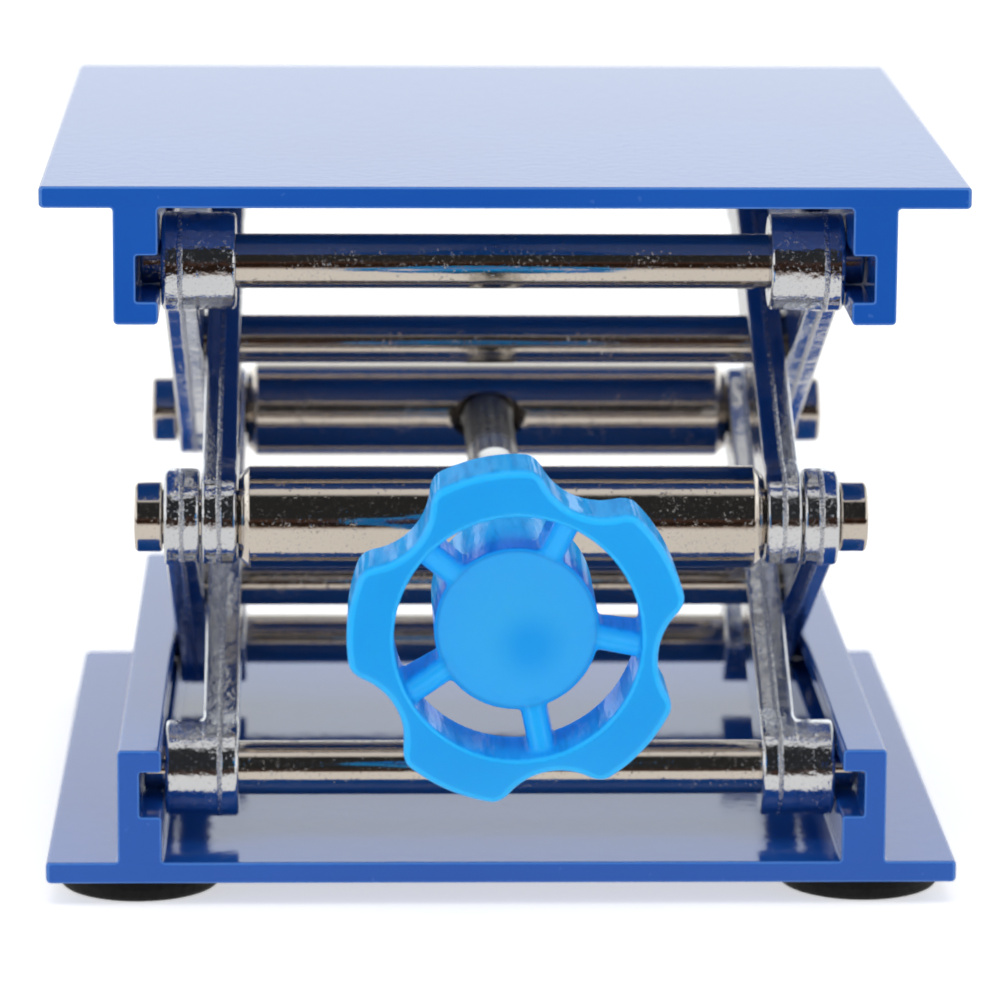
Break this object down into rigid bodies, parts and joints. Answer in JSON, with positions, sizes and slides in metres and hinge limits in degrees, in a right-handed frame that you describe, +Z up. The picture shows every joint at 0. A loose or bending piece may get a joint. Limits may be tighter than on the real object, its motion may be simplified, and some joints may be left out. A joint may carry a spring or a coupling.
{
  "type": "lab jack",
  "caption": "Lab jack: blue extruded base and platform joined by a two-stage scissor linkage, raised by a lead screw with a lobed blue hand wheel, on rubber feet.",
  "frame": {"origin": "on the bench plane (soles of the feet), under the middle of the overall footprint at rest, hand wheel included; the plates' middle is 23.43 mm behind it", "axes": "+Z up through the platform, -Y towards the hand wheel and the user, +X to the user's right"},
  "size_m": [0.1, 0.1468, 0.0796],
  "materials": {
    "blue_finish": "glossy blue finish on aluminium extrusion",
    "plated_casting": "bright plated die casting, slightly uneven",
    "polished_nickel": "polished nickel plate, warm",
    "screw_steel": "machined steel, lightly oiled",
    "zinc_steel": "zinc-plated steel",
    "wheel_plastic": "glossy sky-blue translucent plastic",
    "foot_rubber": "black rubber"
  },
  "bodies": {
    "base": {"base_plate": "blue_finish", "foot_front_left": "foot_rubber", "foot_front_right": "foot_rubber", "foot_rear_left": "foot_rubber", "foot_rear_right": "foot_rubber", "base_rear_shaft": "polished_nickel", "base_rear_shaft_screws": "zinc_steel"},
    "lower_outer_arms": {"lower_outer_arm_left": "plated_casting", "lower_outer_arm_right": "plated_casting", "lower_centre_shaft": "polished_nickel"},
    "lower_inner_arms": {"lower_inner_arm_left": "plated_casting", "lower_inner_arm_right": "plated_casting", "base_front_shaft": "polished_nickel"},
    "upper_outer_arms": {"upper_outer_arm_left": "plated_casting", "upper_outer_arm_right": "plated_casting", "top_front_shaft": "polished_nickel", "upper_centre_shaft": "polished_nickel"},
    "upper_inner_arms": {"upper_inner_arm_left": "plated_casting", "upper_inner_arm_right": "plated_casting"},
    "platform": {"top_plate": "blue_finish", "top_rear_shaft": "polished_nickel", "top_rear_shaft_screws": "zinc_steel"},
    "front_bar": {"front_crossbar": "polished_nickel", "front_pivot_screw_left": "polished_nickel", "front_pivot_screw_right": "polished_nickel", "thrust_washers": "zinc_steel"},
    "rear_bar": {"rear_crossbar": "polished_nickel", "rear_pivot_screw_left": "polished_nickel", "rear_pivot_screw_right": "polished_nickel"},
    "screw_and_wheel": {"lead_screw": "screw_steel", "hand_wheel": "wheel_plastic", "retaining_clip": "zinc_steel"}
  },
  "joints": [
    {"name": "lift", "type": "hinge", "parent": "base", "child": "lower_outer_arms", "pos_m": [0, 0.04773, 0.0125], "axis": [-1, 0, 0], "range_deg": [-14.55, 40.35]},
    {"name": "lower_centre_pivot", "type": "hinge", "parent": "lower_outer_arms", "child": "lower_inner_arms", "pos_m": [0, 0.0166, 0.02678], "axis": [-1, 0, 0], "range_deg": [-80.7, 29.1]},
    {"name": "rear_middle_pivot", "type": "hinge", "parent": "lower_inner_arms", "child": "upper_outer_arms", "pos_m": [0, 0.04773, 0.04107], "axis": [-1, 0, 0], "range_deg": [-29.1, 80.7]},
    {"name": "upper_centre_pivot", "type": "hinge", "parent": "upper_outer_arms", "child": "upper_inner_arms", "pos_m": [0, 0.0166, 0.05535], "axis": [-1, 0, 0], "range_deg": [-80.7, 29.1]},
    {"name": "platform_pivot", "type": "hinge", "parent": "upper_inner_arms", "child": "platform", "pos_m": [0, 0.04773, 0.06964], "axis": [-1, 0, 0], "range_deg": [-14.55, 40.35]},
    {"name": "front_bar_pivot", "type": "hinge", "parent": "lower_outer_arms", "child": "front_bar", "pos_m": [0, -0.01453, 0.04107], "axis": [-1, 0, 0], "range_deg": [-40.35, 14.55]},
    {"name": "rear_bar_pivot", "type": "hinge", "parent": "lower_inner_arms", "child": "rear_bar", "pos_m": [0, 0.04773, 0.04107], "axis": [-1, 0, 0], "range_deg": [-14.55, 40.35]},
    {"name": "wheel_turn", "type": "hinge", "parent": "front_bar", "child": "screw_and_wheel", "pos_m": [0, -0.01453, 0.04107], "axis": [0, 1, 0], "range_deg": [-3673.2, 10184.9]}
  ],
  "couplings": [
    {"joint": "lower_centre_pivot", "follows": "lift", "ratio": -2},
    {"joint": "rear_middle_pivot", "follows": "lift", "ratio": 2},
    {"joint": "upper_centre_pivot", "follows": "lift", "ratio": -2},
    {"joint": "platform_pivot", "follows": "lift", "ratio": 1},
    {"joint": "front_bar_pivot", "follows": "lift", "ratio": -1},
    {"joint": "rear_bar_pivot", "follows": "lift", "ratio": 1},
    {"joint": "wheel_turn", "follows": "lift", "ratio": 252.39}
  ]
}
